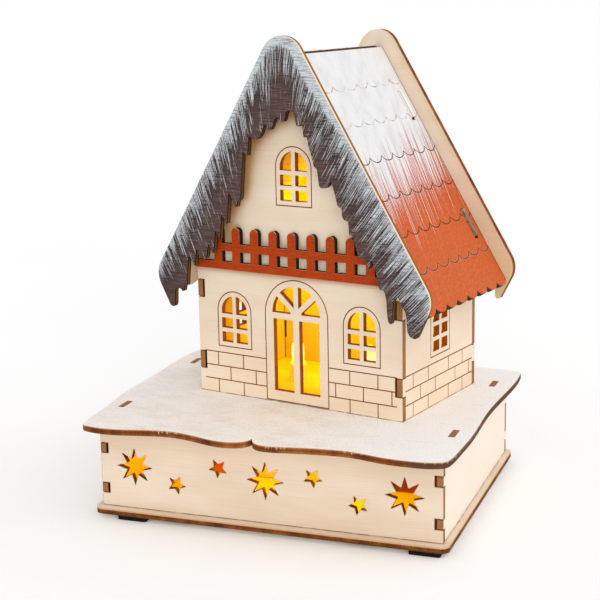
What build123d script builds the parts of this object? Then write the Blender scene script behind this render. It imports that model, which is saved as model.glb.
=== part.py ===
from build123d import *
import math
import os

# Plywood sheet, glue fits and laser work
ply = 3.0
fit = 0.4
side_fit = 0.1
notch_play = 1.1
overrun = 1.0
engrave_depth = 0.3
engrave_width = 0.5

# Base box: four walls between a bottom plate and a wavy snow plate
base_width = 170.0
base_depth = 136.0
base_height = 41.0
base_tab_height = 4.5
base_tab_levels = (9.1, 29.3)
base_foot_tab_width = 13.0
base_foot_tab_place = 46.0
base_side_tab_width = 10.0
base_side_tab_place = 43.0
bottom_side_margin = 3.0
bottom_front_margin = 4.2
bottom_back_margin = 3.0
bottom_corner = 4.0

# Square felt feet under the bottom plate, stuck on by hand
foot_side = 14.8
foot_corner = 1.0
foot_height = 2.5
foot_left_inset = 11.8
foot_right_inset = 3.8
foot_setback = 1.2

# Snow plate, overhanging the base; its outline in shares of its reach to each side
snow_side_overhang = 8.5
snow_front_overhang = 18.0
snow_back_overhang = 4.0
snow_corner = 3.0
snow_left_shares = [
    (-0.97, 0.96), (-1.0, 0.73), (-0.995, 0.06), (-1.0, -0.27), (-0.975, -0.53), (-0.955, -0.84),
    (-0.945, -0.92)]
snow_front_left_shares = [
    (-0.945, -0.92), (-0.72, -0.945), (-0.47, -0.90), (-0.315, -0.935), (-0.165, -0.98), (-0.06, -0.955),
    (-0.025, -0.892)]
snow_right_shares = [
    (-0.025, -0.892), (0.03, -0.972), (0.18, -0.968), (0.335, -0.945), (0.5, -0.943), (0.64, -0.98),
    (0.80, -0.998), (0.90, -0.988), (0.955, -0.957), (0.972, -0.90), (0.98, -0.75), (0.986, -0.57),
    (0.975, -0.07), (0.99, 0.40), (1.0, 0.76), (0.99, 0.96)]
snow_back_shares = [
    (0.99, 0.96), (0.75, 1.0), (0.375, 0.975), (0.0, 1.0), (-0.375, 0.975), (-0.75, 1.0), (-0.97, 0.96)]

# Stars sawn in the base front, placed in shares of its width and height
big_star_radius = 9.35
big_star_points = 8
big_star_inner_share = 0.45
big_star_shares = [(-0.395, 0.515), (0.0, 0.51), (0.395, 0.505)]
small_star_radius = 4.8
small_star_points = 5
small_star_inner_share = 0.46
small_star_shares = [(-0.267, 0.347), (-0.139, 0.602), (0.138, 0.605), (0.266, 0.341)]
small_star_turns = (-78.0, -96.0, -84.0, -100.0)

# House, turned on the base and held by tabs in slanted slots
house_width = 117.0
house_depth = 77.2
house_turn = -12.65
house_offset_x = 8.0
house_offset_y = 16.8
house_tab_height = 8.6
house_tab_levels = (16.4, 53.5)
house_foot_tab_width = 7.0
house_foot_tab_place = 35.8

# Roof: two sheets meeting at the ridge on their inner edges
eave_height = 73.0
roof_slope = 58.5
roof_fall = 137.3
roof_overhang = 5.5
roof_tab_length = 15.2
roof_tab_places = (33.4, 101.5)
roof_tab_proud = 1.0
scallop_count = 8
scallop_sag = 2.8
scallop_rows = 6
scallop_row_pitch = 19.25
eave_notch_depth = 2.8
roof_slot_play = 0.8
ridge_lap = 1.0

# Gable boards standing proud of the roof, with icicles on their inner edge
board_rise = 8.0
board_round = 11.5
board_eave_reach = 6.8
board_tip_drop = 18.0
icicle_soften = 1.8
icicle_soften_share = 0.45
icicle_left_shares = [
    (-0.89, 0.011), (-0.865, 0.005), (-0.855, 0.016), (-0.85, 0.072), (-0.805, 0.075), (-0.785, 0.06),
    (-0.775, 0.088), (-0.757, 0.084), (-0.735, 0.195), (-0.70, 0.17), (-0.685, 0.154), (-0.668, 0.223),
    (-0.647, 0.188), (-0.594, 0.184), (-0.575, 0.241), (-0.558, 0.223), (-0.539, 0.205), (-0.517, 0.29),
    (-0.495, 0.268), (-0.484, 0.254), (-0.468, 0.342), (-0.447, 0.332), (-0.428, 0.307), (-0.406, 0.423),
    (-0.375, 0.387), (-0.352, 0.366), (-0.344, 0.39), (-0.32, 0.397), (-0.293, 0.559), (-0.266, 0.545),
    (-0.26, 0.543), (-0.245, 0.612), (-0.213, 0.595), (-0.173, 0.601), (-0.153, 0.619), (-0.125, 0.653),
    (-0.10, 0.629), (-0.084, 0.631), (-0.047, 0.676), (-0.006, 0.657), (0.014, 0.66), (0.029, 0.696),
    (0.08, 0.69)]
icicle_right_shares = [
    (0.097, 0.645), (0.115, 0.645), (0.138, 0.655), (0.145, 0.61), (0.171, 0.614), (0.176, 0.59),
    (0.201, 0.551), (0.215, 0.518), (0.234, 0.517), (0.251, 0.453), (0.303, 0.454), (0.329, 0.482),
    (0.349, 0.451), (0.375, 0.397), (0.403, 0.395), (0.403, 0.368), (0.418, 0.356), (0.446, 0.355),
    (0.45, 0.309), (0.47, 0.314), (0.489, 0.285), (0.507, 0.247), (0.529, 0.237), (0.569, 0.236),
    (0.578, 0.203), (0.60, 0.24), (0.628, 0.206), (0.646, 0.151), (0.657, 0.145), (0.682, 0.145),
    (0.697, 0.115), (0.70, 0.079), (0.708, 0.044), (0.724, 0.038), (0.73, 0.042), (0.744, 0.123),
    (0.78, 0.129), (0.792, 0.102), (0.817, 0.089), (0.828, 0.072), (0.834, 0.022), (0.852, 0.005),
    (0.888, 0.0), (0.90, 0.008)]

# Balcony fence glued on the front wall
fence_bottom = 65.0
fence_bottom_rail = 3.8
fence_hole_height = 5.5
fence_top_rail = 3.7
fence_picket_rise = 8.1
fence_picket_count = 9
fence_picket_width = 4.65
fence_end_gap = 1.0
fence_top_inset = 12.855

# Arched windows, alike on all walls, with six panes each
window_width = 20.5
window_height = 29.0
window_frame = 2.6
window_bar = 2.1
window_row = 5.2
window_sill = 24.5
window_side_place = 36.6
gable_sill = 98.4

# Front door with two tall panes and a fan-light
door_width = 36.4
door_height = 62.2
door_sill = 0.5
door_frame = 5.0
door_mullion = 3.4
pane_sill = 5.9
pane_height = 36.6
fan_bar = 3.1
fan_spoke = 2.7
fan_hub = 3.2
fan_spoke_angle = 42.0

# Engraved bricks along the foot of the walls
brick_height = 7.1
brick_length = 15.43
brick_courses = 3
brick_starts = (11.2, 18.7)
side_brick_long = 21.6
side_brick_starts = (10.5, 18.0)

# Lamps: domed diodes on plastic collars
lamp_diameter = 6.5
lamp_rim_diameter = 7.5
lamp_rim_height = 1.0
lamp_body_height = 8.0
collar_diameter = 9.0
collar_height = 9.0
collar_bore = 3.0
house_lamp_places = {"left": (-24.2, 0.0), "right": (13.2, 9.7)}
base_lamp_place = 26.0
base_lamp_setback = 22.0

# Battery case for two round cells, let into the bottom plate
cell_diameter = 14.5
cell_length = 49.5
cell_nub_diameter = 5.5
cell_nub_length = 1.0
cell_gap = 0.3
contact_thickness = 0.4
contact_boss = 0.8
contact_boss_diameter = 6.0
contact_width = 10.0
contact_height = 11.0
case_wall = 1.5
case_place_x = 8.0
case_place_y = 8.0
rim_width = 4.0
rim_height = 1.9
lid_thickness = 1.2
lid_lap = 1.2
lid_tongue = 1.0
lid_tongue_height = 0.6
slide_gap = 0.15
grip_count = 3
grip_pitch = 3.0
grip_width = 1.2
grip_length = 18.0
grip_depth = 0.4

# Slide switch beside the cells
switch_length = 12.0
switch_width = 6.0
switch_height = 5.0
switch_floor = 1.0
slider_travel = 3.0
slider_length = 4.6
slider_width = 3.6
slider_height = 1.6
knob_length = 2.6
knob_width = 2.0
knob_recess = 0.2
switch_gap = 0.2


def front_of(depth):
    """Outer face of a wall that looks to the front."""
    return Plane(origin=(0, -depth / 2, 0), x_dir=(1, 0, 0), z_dir=(0, -1, 0))


def back_of(depth):
    """Outer face of a wall that looks to the back."""
    return Plane(origin=(0, depth / 2, 0), x_dir=(-1, 0, 0), z_dir=(0, 1, 0))


def right_of(width):
    """Outer face of a wall that looks to the right."""
    return Plane(origin=(width / 2, 0, 0), x_dir=(0, 1, 0), z_dir=(1, 0, 0))


def left_of(width):
    """Outer face of a wall that looks to the left."""
    return Plane(origin=(-width / 2, 0, 0), x_dir=(0, -1, 0), z_dir=(-1, 0, 0))


def sheet(outline, face):
    """A plywood piece cut to an outline drawn on its outer face."""
    return extrude(face * outline, amount=-ply)


def engraved(piece, marks, face):
    """The piece with shallow burnt lines on its outer face."""
    return piece - extrude(face * marks, amount=-engrave_depth)


def both(place):
    """A place and its mirror image."""
    return (-place, place)


def slot(length):
    """Slot for the tab of another sheet, with the laser's fit all round."""
    return Rectangle(length + 2 * fit, ply + 2 * side_fit)


def end_notches(width, levels, height):
    """Open notches at both ends of a wall, for the tabs of its neighbours."""
    depth = ply + notch_play + overrun
    reach = width / 2 + overrun - depth / 2
    places = [Pos(side, level) for side in both(reach) for level in levels]
    return Sketch() + [place * Rectangle(depth, height + 2 * fit) for place in places]


def end_tabs(depth, levels, height):
    """Bars as long as the wall's full depth, whose ends are its tabs."""
    return Sketch() + [Pos(0, level) * Rectangle(depth, height) for level in levels]


def edge_tabs(width, place, level):
    """Two tabs that cross a level edge of a wall and reach one sheet past it."""
    return Sketch() + [Pos(side, level) * Rectangle(width, 2 * ply) for side in both(place)]


def star(points, radius, inner_share, turn):
    """A pointed star with its first point at the given turn."""
    spots = []
    for step in range(2 * points):
        angle = math.radians(turn + 180 * step / points)
        reach = radius if step % 2 == 0 else radius * inner_share
        spots.append((reach * math.cos(angle), reach * math.sin(angle)))
    return make_face(Polyline(*spots, close=True))


def arch(width, height):
    """A round-headed opening standing on the origin."""
    shoulder = height - width / 2
    return Pos(0, shoulder / 2) * Rectangle(width, shoulder) + Pos(0, shoulder) * Circle(width / 2)


def arch_line(width, height):
    """The engraved line round a round-headed frame."""
    inside = arch(width - 2 * engrave_width, height - 2 * engrave_width)
    return arch(width, height) - Pos(0, engrave_width) * inside


def window_panes():
    """Six panes of one window, standing on the sill of its frame."""
    glass_width = window_width - 2 * window_frame
    glass_height = window_height - 2 * window_frame
    panes = arch(glass_width, glass_height)
    panes -= Pos(0, glass_height / 2) * Rectangle(window_bar, glass_height + overrun)
    for row in (1, 2):
        level = row * window_row + (row - 1 / 2) * window_bar
        panes -= Pos(0, level) * Rectangle(glass_width + overrun, window_bar)
    return Pos(0, window_frame) * panes


def door_panes():
    """Two tall panes and the four panes of the fan-light above them."""
    pane_width = (door_width - door_mullion) / 2 - door_frame
    pane_place = (door_mullion + pane_width) / 2
    panes = Sketch() + [Pos(x, pane_sill + pane_height / 2) * Rectangle(pane_width, pane_height)
                        for x in both(pane_place)]
    fan_level = pane_sill + pane_height + fan_bar
    fan_radius = door_width / 2 - door_frame + engrave_width
    fan = Circle(fan_radius) - Pos(0, -fan_radius / 2) * Rectangle(2 * fan_radius + overrun, fan_radius)
    fan -= Pos(0, fan_radius / 2) * Rectangle(fan_spoke, fan_radius + overrun)
    for angle in (fan_spoke_angle, 180 - fan_spoke_angle):
        fan -= Rot(0, 0, angle) * Pos(fan_radius / 2, 0) * Rectangle(fan_radius + overrun, fan_spoke)
    fan -= Circle(fan_hub)
    return panes + Pos(0, fan_level) * fan


def brick_lines(start, end, joints_of_course):
    """Level courses between two places, with the upright joints of each."""
    lines = []
    for course in range(1, brick_courses + 1):
        level = course * brick_height
        lines.append(Pos((start + end) / 2, level) * Rectangle(end - start, engrave_width))
        for joint in joints_of_course(course):
            if start < joint < end:
                lines.append(Pos(joint, level - brick_height / 2) * Rectangle(engrave_width, brick_height))
    return lines


def front_joints(course):
    """Running bond along the front wall, measured from its middle."""
    first = brick_starts[(course + 1) % 2] - house_width / 2
    count = int(house_width / brick_length)
    return [first + step * brick_length for step in range(count)]


def side_joints(course):
    """The side walls' bond: two joints a brick apart, then the same after a longer brick."""
    first = side_brick_starts[(course + 1) % 2] - house_depth / 2
    pair = (first, first + brick_length)
    return [joint + shift for shift in (0, brick_length + side_brick_long) for joint in pair]


def ridge_height():
    """Where the inner faces of the two roof sheets meet, over walls of the eave's height."""
    return eave_height + house_width / 2 * math.tan(math.radians(roof_slope))


def roof_face():
    """Inner face of the right-hand roof sheet: fall along x, house depth along y, outward along z."""
    slope = math.radians(roof_slope)
    down = (math.cos(slope), 0, -math.sin(slope))
    out = (math.sin(slope), 0, math.cos(slope))
    return Plane(origin=(0, 0, ridge_height()), x_dir=down, z_dir=out)


def gable():
    """House-end outline under the roof, with the tabs that pass through the roof sheets."""
    slope = math.radians(roof_slope)
    half = house_width / 2
    corners = [(-half, 0), (half, 0), (half, eave_height), (0, ridge_height()), (-half, eave_height)]
    outline = make_face(Polyline(*corners, close=True))
    for place in roof_tab_places:
        x = place * math.cos(slope)
        z = ridge_height() - place * math.sin(slope)
        tab = Rectangle(roof_tab_length, 2 * (ply + roof_tab_proud))
        outline += Pos(x, z) * Rot(0, 0, -roof_slope) * tab
        outline += Pos(-x, z) * Rot(0, 0, roof_slope) * tab
    outline += edge_tabs(house_foot_tab_width, house_foot_tab_place, 0)
    return outline - end_notches(house_width, house_tab_levels, house_tab_height)


def house_side():
    """Side-wall outline, as high as the roof leaves at its outer face."""
    body = Pos(0, eave_height / 2) * Rectangle(house_depth - 2 * ply, eave_height)
    return body + end_tabs(house_depth, house_tab_levels, house_tab_height)


def arc_radius(width, sag):
    """Radius of the arc that spans one scallop with the given depth."""
    return ((width / 2) ** 2 + sag ** 2) / (2 * sag)


def roof_sheet(lap):
    """Right-hand roof sheet, lapping over the ridge, with a scalloped eave, gable slots and tiles."""
    length = house_depth + 2 * roof_overhang
    scallop = length / scallop_count
    centres = [(step + 1 / 2) * scallop - length / 2 for step in range(scallop_count)]
    eave_radius = arc_radius(scallop, eave_notch_depth)
    eave_line = roof_fall - eave_notch_depth
    outline = Pos((eave_line - lap) / 2, 0) * Rectangle(eave_line + lap, length)
    for y in centres:
        tip = Pos(roof_fall - eave_radius, y) * Circle(eave_radius)
        outline += tip & Pos(roof_fall / 2, y) * Rectangle(roof_fall, scallop)
    for place in roof_tab_places:
        for y in both(house_depth / 2 - ply / 2):
            outline -= Pos(place + roof_slot_play / 2, y) * slot(roof_tab_length + roof_slot_play)
    tile_radius = arc_radius(scallop, scallop_sag)
    marks = []
    for row in range(scallop_rows):
        bottom = roof_fall - (row + 1) * scallop_row_pitch
        for y in centres:
            ring = Circle(tile_radius) - Circle(tile_radius - engrave_width)
            window = Pos(bottom - scallop_sag, y) * Rectangle(2 * scallop_sag, scallop)
            marks.append(Pos(bottom - tile_radius, y) * ring & window)
    lines = Sketch() + marks
    face = roof_face()
    outer = face.offset(ply)
    return engraved(extrude(face * outline, amount=ply), lines, outer)


def softened(spots):
    """A line through the spots with every inner corner worn round."""
    runs = []
    start = Vector(*spots[0])
    for before, corner, after in zip(spots, spots[1:], spots[2:]):
        corner = Vector(*corner)
        into = Vector(*before) - corner
        onward = Vector(*after) - corner
        enter = corner + into.normalized() * min(icicle_soften, into.length * icicle_soften_share)
        leave = corner + onward.normalized() * min(icicle_soften, onward.length * icicle_soften_share)
        runs += [Line(start, enter), Bezier(enter, corner, leave)]
        start = leave
    return runs + [Line(start, Vector(*spots[-1]))]


def gable_board():
    """Roof-end board: rounded apex and shoulders outside, icicles inside."""
    slope = math.radians(roof_slope)
    apex = ridge_height() + (ply + board_rise) / math.cos(slope)
    half_span = roof_fall * math.cos(slope) + board_eave_reach
    corner = apex - half_span * math.tan(slope)
    tip = corner - board_tip_drop
    teeth = [(x * half_span, tip + z * (apex - tip)) for x, z in icicle_left_shares + icicle_right_shares]
    rakes = Polyline(teeth[-1], (half_span, corner), (0, apex), (-half_span, corner), teeth[0])
    board = make_face(softened(teeth) + rakes.edges())
    by_side = board.vertices().sort_by(Axis.X)
    rounded = [by_side[0], by_side[-1], board.vertices().sort_by(Axis.Y)[-1]]
    return fillet(rounded, board_round)


def fence_outline():
    """Rails with square holes between round-topped pickets."""
    hole_level = fence_bottom + fence_bottom_rail
    rail_level = hole_level + fence_hole_height
    rail_top = rail_level + fence_top_rail
    bottom_length = house_width - 2 * fence_end_gap
    top_length = house_width - 2 * fence_top_inset
    fence = Pos(0, fence_bottom + fence_bottom_rail / 2) * Rectangle(bottom_length, fence_bottom_rail)
    fence += Pos(0, rail_level + fence_top_rail / 2) * Rectangle(top_length, fence_top_rail)
    tall = rail_top + fence_picket_rise - fence_bottom
    span = top_length - fence_picket_width
    for step in range(fence_picket_count):
        x = step * span / (fence_picket_count - 1) - span / 2
        fence += Pos(x, fence_bottom) * arch(fence_picket_width, tall)
    return fence


def snow_outline():
    """Wavy outline of the plate under the house, with one cusp in its front edge."""
    def spot(x, y):
        reach = base_depth / 2 + (snow_back_overhang if y > 0 else snow_front_overhang)
        return (x * (base_width / 2 + snow_side_overhang), y * reach)
    stretches = (snow_left_shares, snow_front_left_shares, snow_right_shares, snow_back_shares)
    outline = make_face([Spline(*[spot(x, y) for x, y in stretch]) for stretch in stretches])
    corners = outline.vertices().sort_by_distance((0, -base_depth / 2))[1:]
    return fillet(corners, snow_corner)


def diode():
    """Lamp with a rim, a round body and a dome, standing on the origin."""
    lamp = Pos(0, 0, lamp_rim_height / 2) * Cylinder(lamp_rim_diameter / 2, lamp_rim_height)
    body_top = lamp_rim_height + lamp_body_height
    lamp += Pos(0, 0, body_top / 2) * Cylinder(lamp_diameter / 2, body_top)
    return lamp + Pos(0, 0, body_top) * Sphere(lamp_diameter / 2)


def collar():
    """Stub of tube that carries a lamp, standing on the origin."""
    tube = Cylinder(collar_diameter / 2, collar_height) - Cylinder(collar_bore / 2, collar_height + overrun)
    return Pos(0, 0, collar_height / 2) * tube


def cell():
    """Round battery cell along x, its nub to the right, centred on its whole length."""
    can = Cylinder(cell_diameter / 2, cell_length)
    nub = Pos(0, 0, (cell_length + cell_nub_length) / 2) * Cylinder(cell_nub_diameter / 2, cell_nub_length)
    return Rot(0, 90, 0) * Pos(0, 0, -cell_nub_length / 2) * (can + nub)


def contact(width, bosses):
    """Pressed contact plate on a wall that looks along x, with a boss for each cell end."""
    plate = Pos(contact_thickness / 2, 0, 0) * Box(contact_thickness, width, contact_height)
    reach = contact_thickness + contact_boss
    for y in bosses:
        plate += Pos(reach / 2, y, 0) * Rot(0, 90, 0) * Cylinder(contact_boss_diameter / 2, reach)
    return plate


pieces = {}

# Base panels
walls = Pos(0, base_height / 2) * Rectangle(base_width, base_height)
walls += edge_tabs(base_foot_tab_width, base_foot_tab_place, 0)
walls -= end_notches(base_width, base_tab_levels, base_tab_height)
stars = []
for x, z in big_star_shares:
    big_star = star(big_star_points, big_star_radius, big_star_inner_share, 90)
    stars.append(Pos(x * base_width, z * base_height) * big_star)
for (x, z), turn in zip(small_star_shares, small_star_turns):
    small_star = star(small_star_points, small_star_radius, small_star_inner_share, turn)
    stars.append(Pos(x * base_width, z * base_height) * small_star)
pieces["base_front_panel"] = sheet(walls - (Sketch() + stars), front_of(base_depth))
pieces["base_back_panel"] = sheet(walls, back_of(base_depth))
sides = Pos(0, base_height / 2) * Rectangle(base_depth - 2 * ply, base_height)
sides += end_tabs(base_depth, base_tab_levels, base_tab_height)
sides += edge_tabs(base_side_tab_width, base_side_tab_place, 0)
sides += edge_tabs(base_side_tab_width, base_side_tab_place, base_height)
pieces["base_left_panel"] = sheet(sides, left_of(base_width))
pieces["base_right_panel"] = sheet(sides, right_of(base_width))

# Slots that both plates share, for the tabs of the side panels
side_slots = Sketch() + [Pos(x, y) * Rot(0, 0, 90) * slot(base_side_tab_width)
                         for x in both(base_width / 2 - ply / 2) for y in both(base_side_tab_place)]

# Battery case: its bay, lid channel and switch pocket
rim_bottom = -ply - rim_height
lid_top = rim_bottom + lid_thickness
bay_length = cell_length + cell_nub_length + 2 * (contact_thickness + contact_boss + cell_gap)
bay_width = 2 * cell_diameter + 3 * cell_gap
cell_level = lid_top + cell_gap + cell_diameter / 2
bay_top = cell_level + cell_diameter / 2 + cell_gap
pocket_width = switch_width + 2 * fit
pocket_length = switch_length + 2 * fit
pocket_x = -(bay_length / 2 + lid_lap + lid_tongue + case_wall + pocket_width / 2)
case_left = pocket_x - pocket_width / 2 - case_wall
case_right = bay_length / 2 + case_wall
case_centre = (case_left + case_right) / 2
case_width = bay_width + 2 * case_wall
rim_left = case_left - rim_width
rim_right = case_right + rim_width
rim_depth = case_width + 2 * rim_width
at_case = Pos(case_place_x, case_place_y, 0)


def block(left, right, front, back, low, high):
    """A box between named faces."""
    middle = Pos((left + right) / 2, (front + back) / 2, (low + high) / 2)
    return middle * Box(right - left, back - front, high - low)


case = block(case_left, case_right, -case_width / 2, case_width / 2, -ply, bay_top + case_wall)
case += block(rim_left, rim_right, -rim_depth / 2, rim_depth / 2, rim_bottom, -ply)
case -= block(-bay_length / 2, bay_length / 2, -bay_width / 2, bay_width / 2, rim_bottom - overrun, bay_top)
lid_half = bay_length / 2 + lid_lap
lid_front = -bay_width / 2 - lid_lap
lid_back = rim_depth / 2
tongue_half = lid_half + lid_tongue
tongue_low = lid_top - lid_tongue_height
channel_half = lid_half + slide_gap
groove_half = tongue_half + slide_gap
channel_front = lid_front - slide_gap
channel_back = lid_back + overrun
channel_top = lid_top + slide_gap
groove_low = tongue_low - slide_gap
case -= block(-channel_half, channel_half, channel_front, channel_back, rim_bottom - overrun, channel_top)
case -= block(-groove_half, groove_half, channel_front, channel_back, groove_low, channel_top)
pocket_floor = rim_bottom + switch_floor
pocket_left = pocket_x - pocket_width / 2
pocket_right = pocket_x + pocket_width / 2
pocket_top = bay_top + case_wall + overrun
case -= block(pocket_left, pocket_right, -pocket_length / 2, pocket_length / 2, pocket_floor, pocket_top)
knob_half = knob_width / 2 + switch_gap
knob_reach = (knob_length + slider_travel) / 2 + switch_gap
slot_top = pocket_floor + overrun
knob_slot = block(-knob_half, knob_half, -knob_reach, knob_reach, rim_bottom - overrun, slot_top)
case -= Pos(pocket_x, 0, 0) * knob_slot
pieces["battery_case"] = at_case * case

# Battery lid, slid out to the back
lid = block(-lid_half, lid_half, lid_front, lid_back, rim_bottom, lid_top)
lid += block(-tongue_half, tongue_half, lid_front, lid_back, tongue_low, lid_top)
for step in range(grip_count):
    y = lid_back - (step + 1) * grip_pitch
    lid -= block(-grip_length / 2, grip_length / 2, y - grip_width / 2, y + grip_width / 2,
                 rim_bottom - overrun, rim_bottom + grip_depth)
pieces["battery_lid"] = at_case * lid

# Cells, lying nub to tail, and their contacts
cell_row = (cell_diameter + cell_gap) / 2
pieces["battery_cell_front"] = at_case * Pos(0, -cell_row, cell_level) * cell()
pieces["battery_cell_rear"] = at_case * Pos(0, cell_row, cell_level) * Rot(0, 0, 180) * cell()
link_width = 2 * cell_row + contact_width
left_end = at_case * Pos(-bay_length / 2, 0, cell_level)
right_end = at_case * Pos(bay_length / 2, 0, cell_level) * Rot(0, 0, 180)
pieces["battery_link_contact"] = right_end * contact(link_width, both(cell_row))
pieces["battery_minus_contact"] = left_end * Pos(0, -cell_row, 0) * contact(contact_width, (0,))
pieces["battery_plus_contact"] = left_end * Pos(0, cell_row, 0) * contact(contact_width, (0,))

# Slide switch: body in its pocket, slider in the body, knob through the pocket floor
cavity_half = slider_width / 2 + switch_gap
cavity_reach = (slider_length + slider_travel) / 2 + switch_gap
slider_low = pocket_floor + switch_gap
slider_top = slider_low + slider_height
switch = block(-switch_width / 2, switch_width / 2, -switch_length / 2, switch_length / 2,
               pocket_floor, pocket_floor + switch_height)
cavity_top = slider_top + switch_gap
switch -= block(-cavity_half, cavity_half, -cavity_reach, cavity_reach, pocket_floor - overrun, cavity_top)
pieces["switch_body"] = at_case * Pos(pocket_x, 0, 0) * switch
knob_low = rim_bottom + knob_recess
slider = Pos(0, 0, (slider_low + slider_top) / 2) * Box(slider_width, slider_length, slider_top - slider_low)
slider += Pos(0, 0, (knob_low + slider_top) / 2) * Box(knob_width, knob_length, slider_top - knob_low)
pieces["switch_slider"] = at_case * Pos(pocket_x, -slider_travel / 2, 0) * slider

# Bottom plate and feet
plate_width = base_width + 2 * bottom_side_margin
plate_front = -base_depth / 2 - bottom_front_margin
plate_back = base_depth / 2 + bottom_back_margin
plate = RectangleRounded(plate_width, plate_back - plate_front, bottom_corner)
bottom = Pos(0, (plate_front + plate_back) / 2) * plate - side_slots
bottom -= Sketch() + [Pos(x, y) * slot(base_foot_tab_width)
                      for x in both(base_foot_tab_place) for y in both(base_depth / 2 - ply / 2)]
case_hole = Rectangle(case_right - case_left + 2 * fit, case_width + 2 * fit)
bottom -= Pos(case_place_x + case_centre, case_place_y) * case_hole
pieces["base_bottom_plate"] = extrude(bottom, amount=-ply)
foot = extrude(RectangleRounded(foot_side, foot_side, foot_corner), amount=-foot_height)
foot_centre = foot_setback + foot_side / 2
foot_left = -plate_width / 2 + foot_left_inset + foot_side / 2
foot_right = plate_width / 2 - foot_right_inset - foot_side / 2
for end, y in (("front", plate_front + foot_centre), ("back", plate_back - foot_centre)):
    for side, x in (("left", foot_left), ("right", foot_right)):
        pieces[f"foot_{end}_{side}"] = Pos(x, y, -ply) * foot

# Snow plate, with slanted slots for the house
deck = base_height + ply
at_house = Pos(house_offset_x, house_offset_y, deck) * Rot(0, 0, house_turn)
on_plate = Pos(house_offset_x, house_offset_y) * Rot(0, 0, house_turn)
house_slots = Sketch() + [on_plate * Pos(x, y) * slot(house_foot_tab_width)
                          for x in both(house_foot_tab_place) for y in both(house_depth / 2 - ply / 2)]
snow = snow_outline() - side_slots - house_slots
pieces["base_top_plate"] = Pos(0, 0, base_height) * extrude(snow, amount=ply)

# Front wall: windows, door, gable window and bricks
front_face = front_of(house_depth)
window_places = [Pos(x, window_sill) for x in both(window_side_place)] + [Pos(0, gable_sill)]
front_holes = [place * window_panes() for place in window_places] + [door_panes()]
front_marks = [place * arch_line(window_width, window_height) for place in window_places]
front_marks.append(Pos(0, door_sill) * arch_line(door_width, door_height))
wall_end = house_width / 2 - ply
front_marks += brick_lines(-wall_end, -door_width / 2, front_joints)
front_marks += brick_lines(door_width / 2, wall_end, front_joints)
front_wall = sheet(gable() - (Sketch() + front_holes), front_face)
house = {"house_front_wall": engraved(front_wall, Sketch() + front_marks, front_face)}
house["house_back_wall"] = sheet(gable(), back_of(house_depth))

# Side walls, alike, each with one window
side_sill = Pos(0, window_sill)
side_end = house_depth / 2 - ply
side_marks = [side_sill * arch_line(window_width, window_height)]
side_marks += brick_lines(-side_end, side_end, side_joints)
side_outline = house_side() - side_sill * window_panes()
for name, face in (("house_left_wall", left_of(house_width)), ("house_right_wall", right_of(house_width))):
    house[name] = engraved(sheet(side_outline, face), Sketch() + side_marks, face)

# Roof, gable boards and fence
house["roof_right_panel"] = roof_sheet(0)
house["roof_left_panel"] = mirror(roof_sheet(ridge_lap), about=Plane.YZ)
board_face = front_of(house_depth + 2 * (roof_overhang + ply))
house["front_icicle_board"] = sheet(gable_board(), board_face)
house["rear_gable_board"] = Rot(0, 0, 180) * house["front_icicle_board"]
house["balcony_fence"] = extrude(front_face * fence_outline(), amount=ply)
for name, piece in house.items():
    pieces[name] = at_house * piece

# Lamps on collars: two on the snow plate in the house, two on the bottom plate in the base
stands = {f"house_{side}": at_house * Pos(x, y, 0) for side, (x, y) in house_lamp_places.items()}
for side, x in (("left", -base_lamp_place), ("right", base_lamp_place)):
    stands[f"base_{side}"] = Pos(x, -base_depth / 2 + ply + base_lamp_setback, 0)
for name, stand in stands.items():
    pieces[f"lamp_collar_{name}"] = stand * collar()
    pieces[f"lamp_{name}"] = stand * Pos(0, 0, collar_height) * diode()

# The origin lies on the floor, under the middle of the whole box
whole = Compound(list(pieces.values())).bounding_box()
centre = whole.center()
to_origin = Pos(-centre.X, -centre.Y, -whole.min.Z)
os.makedirs("parts", exist_ok=True)
for name, piece in pieces.items():
    export_step(to_origin * piece, f"parts/{name}.step")
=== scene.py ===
import math

import bpy
import numpy as np
from mathutils import Matrix, Vector


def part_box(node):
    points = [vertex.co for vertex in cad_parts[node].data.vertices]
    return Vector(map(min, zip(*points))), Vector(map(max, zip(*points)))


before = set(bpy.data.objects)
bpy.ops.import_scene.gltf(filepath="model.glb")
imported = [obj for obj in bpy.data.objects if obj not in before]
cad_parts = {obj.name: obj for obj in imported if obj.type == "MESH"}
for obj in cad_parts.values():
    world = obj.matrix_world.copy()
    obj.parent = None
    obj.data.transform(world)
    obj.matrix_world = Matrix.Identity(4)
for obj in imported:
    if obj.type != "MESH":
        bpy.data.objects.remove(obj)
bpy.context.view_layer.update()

# --------------------------------------------------------------------------------------------------
# Feet: four squares of black felt, cut with shears and stuck under the bottom plate by hand.
# The pressed fibres are dull and a little fuzzy, greyer where they catch the light.

felt_shades = [(0.30, (0.004, 0.003, 0.003)), (0.52, (0.011, 0.009, 0.008)),
               (0.72, (0.034, 0.029, 0.025))]
felt_fuzz = 0.0003


def fill(tree, made, sockets):
    """Fills a node's inputs with values or with other nodes' outputs, and returns the node."""
    for name, value in sockets.items():
        if isinstance(value, bpy.types.NodeSocket):
            tree.links.new(value, made.inputs[name])
        else:
            made.inputs[name].default_value = value
    return made


def put(tree, kind, sockets=None, **settings):
    """Adds one shader node with its settings, and fills its inputs."""
    made = tree.nodes.new("ShaderNode" + kind)
    for name, value in settings.items():
        setattr(made, name, value)
    return fill(tree, made, sockets or {})


def calc(tree, operation, *values):
    """The result of one Math node: the operation on one, two or three values."""
    return put(tree, "Math", dict(enumerate(values)), operation=operation).outputs[0]


def times(tree, first, second):
    """The product of two values."""
    return calc(tree, "MULTIPLY", first, second)


def weighed(tree, *shares):
    """The sum of (value, weight) pairs, each value times its weight."""
    total = 0.0
    for value, weight in shares:
        total = calc(tree, "MULTIPLY_ADD", value, weight, total)
    return total


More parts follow.
